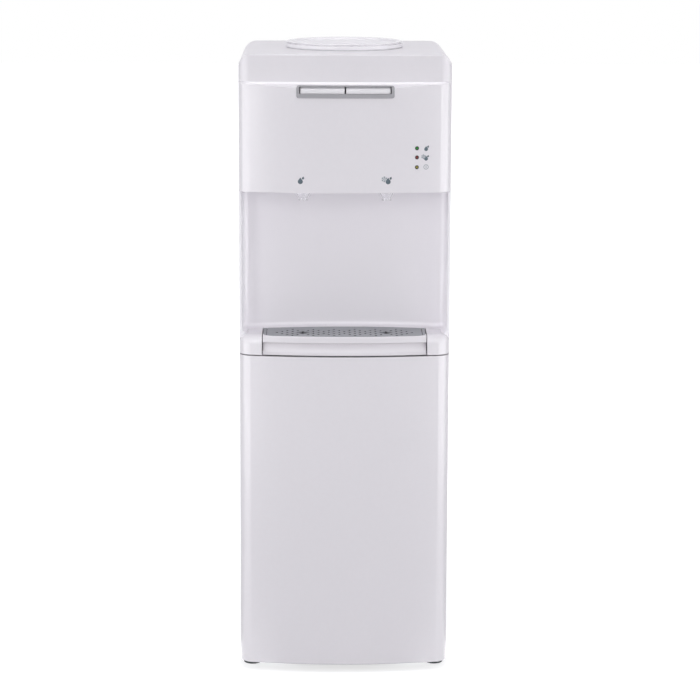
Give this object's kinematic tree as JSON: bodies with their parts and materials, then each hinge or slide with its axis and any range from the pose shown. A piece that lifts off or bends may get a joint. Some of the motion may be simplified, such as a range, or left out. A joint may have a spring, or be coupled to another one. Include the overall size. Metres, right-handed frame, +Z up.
{
  "type": "water cooler",
  "caption": "Floor-standing water cooler that carries a bottle on top, with push keys over two taps, an alcove, a pull-out drip tray and a plain lower cabinet.",
  "frame": {"origin": "on the floor under the middle of the body", "axes": "+Z up, the front faces -Y, +X to the right seen from the front"},
  "size_m": [0.315, 0.326, 0.95],
  "materials": {
    "white_plastic": "satin moulded plastic",
    "white_steel": "satin paint",
    "grille_grey": "fine satin",
    "bezel_grey": "satin",
    "key_silver": "satin",
    "clear_plastic": "clear",
    "tap_plastic": "natural",
    "black_rubber": "matte",
    "silicone": "translucent matte",
    "lamp_green": "clear tinted",
    "lamp_red": "clear tinted",
    "lamp_yellow": "clear tinted",
    "board_green": "solder mask",
    "stainless": "brushed",
    "spring_steel": "bright",
    "foam": "bead foam",
    "galvanised": "galvanised",
    "copper": "drawn",
    "black_steel": "black paint",
    "black_plastic": "matte",
    "rocker_red": "satin",
    "rocker_green": "satin"
  },
  "bodies": {
    "cabinet": {"alcove_liner": "white_plastic", "base_plate": "galvanised", "cold_tank": "stainless", "compressor": "black_steel", "compressor_grommets": "black_rubber", "condenser": "black_steel", "condenser_brackets": "black_plastic", "drain_hose": "silicone", "drain_outlet": "tap_plastic", "evaporator_band": "copper", "feet_front": "black_rubber", "feet_rear": "black_rubber", "filter_drier": "copper", "heater_band": "stainless", "hose_cold": "silicone", "hose_hot": "silicone", "hot_foam": "foam", "hot_tank": "stainless", "inlet_gland": "black_rubber", "key_bezel": "bezel_grey", "key_pin": "stainless", "lamp_board": "board_green", "lamp_green": "lamp_green", "lamp_red": "lamp_red", "lamp_yellow": "lamp_yellow", "lower_front_panel": "white_plastic", "mid_shelf": "galvanised", "rear_panel": "white_steel", "side_panel_left": "white_steel", "side_panel_right": "white_steel", "suction_line": "copper", "switch_housing": "black_plastic", "tank_baffle": "tap_plastic", "tank_deck": "galvanised", "tank_foam_front": "foam", "tank_foam_rear": "foam", "tank_lid": "tap_plastic", "tap_body_cold": "tap_plastic", "tap_body_hot": "tap_plastic", "tap_nozzle_cold": "clear_plastic", "tap_nozzle_hot": "clear_plastic", "tap_spring_cold": "spring_steel", "tap_spring_hot": "spring_steel", "terminal_cover": "black_plastic", "thermostats": "spring_steel", "top_cover": "white_plastic", "tray_housing": "white_plastic", "upper_fascia": "white_plastic"},
    "key_hot": {"key_hot": "key_silver"},
    "key_cold": {"key_cold": "key_silver"},
    "plunger_hot": {"tap_plunger_hot": "tap_plastic"},
    "plunger_cold": {"tap_plunger_cold": "tap_plastic"},
    "tray": {"drip_tray": "white_plastic"},
    "grille": {"drip_grille": "grille_grey"},
    "bottle_guard": {"bottle_collar": "white_plastic", "feed_spike": "white_plastic", "collar_gasket": "silicone"},
    "rocker_heat": {"rocker_heat": "rocker_red"},
    "rocker_cool": {"rocker_cool": "rocker_green"},
    "drain_cap": {"drain_cap": "tap_plastic"}
  },
  "joints": [
    {"name": "key_hot_press", "type": "hinge", "parent": "cabinet", "child": "key_hot", "pos_m": [-0.0336, -0.108, 0.884], "axis": [1, 0, 0], "range_deg": [0, 7], "stiffness_Nm_per_rad": 0.6, "springref_deg": -4.58},
    {"name": "plunger_hot_slide", "type": "slide", "parent": "cabinet", "child": "plunger_hot", "axis": [0, 0, -1], "range_m": [0, 0.00321], "deforming": ["tap_spring_hot"]},
    {"name": "key_cold_press", "type": "hinge", "parent": "cabinet", "child": "key_cold", "pos_m": [0.0336, -0.108, 0.884], "axis": [1, 0, 0], "range_deg": [0, 7], "stiffness_Nm_per_rad": 0.6, "springref_deg": -4.58},
    {"name": "plunger_cold_slide", "type": "slide", "parent": "cabinet", "child": "plunger_cold", "axis": [0, 0, -1], "range_m": [0, 0.00321], "deforming": ["tap_spring_cold"]},
    {"name": "tray_slide", "type": "slide", "parent": "cabinet", "child": "tray", "axis": [0, -1, 0], "range_m": [0, 0.1]},
    {"name": "grille_lift", "type": "slide", "parent": "tray", "child": "grille", "axis": [0, 0, 1], "range_m": [0, 0.05]},
    {"name": "bottle_guard_lift", "type": "slide", "parent": "cabinet", "child": "bottle_guard", "axis": [0, 0, 1], "range_m": [0, 0.1]},
    {"name": "rocker_heat_tilt", "type": "hinge", "parent": "cabinet", "child": "rocker_heat", "pos_m": [0.0735, 0.145, 0.81], "axis": [1, 0, 0], "range_deg": [0, 16]},
    {"name": "rocker_cool_tilt", "type": "hinge", "parent": "cabinet", "child": "rocker_cool", "pos_m": [0.0945, 0.145, 0.81], "axis": [1, 0, 0], "range_deg": [0, 16]},
    {"name": "drain_cap_pull", "type": "slide", "parent": "cabinet", "child": "drain_cap", "axis": [0, 1, 0], "range_m": [0, 0.02]}
  ],
  "couplings": [
    {"joint": "plunger_hot_slide", "follows": "key_hot_press", "m_per_rad": 0.026192},
    {"joint": "plunger_cold_slide", "follows": "key_cold_press", "m_per_rad": 0.026192}
  ]
}
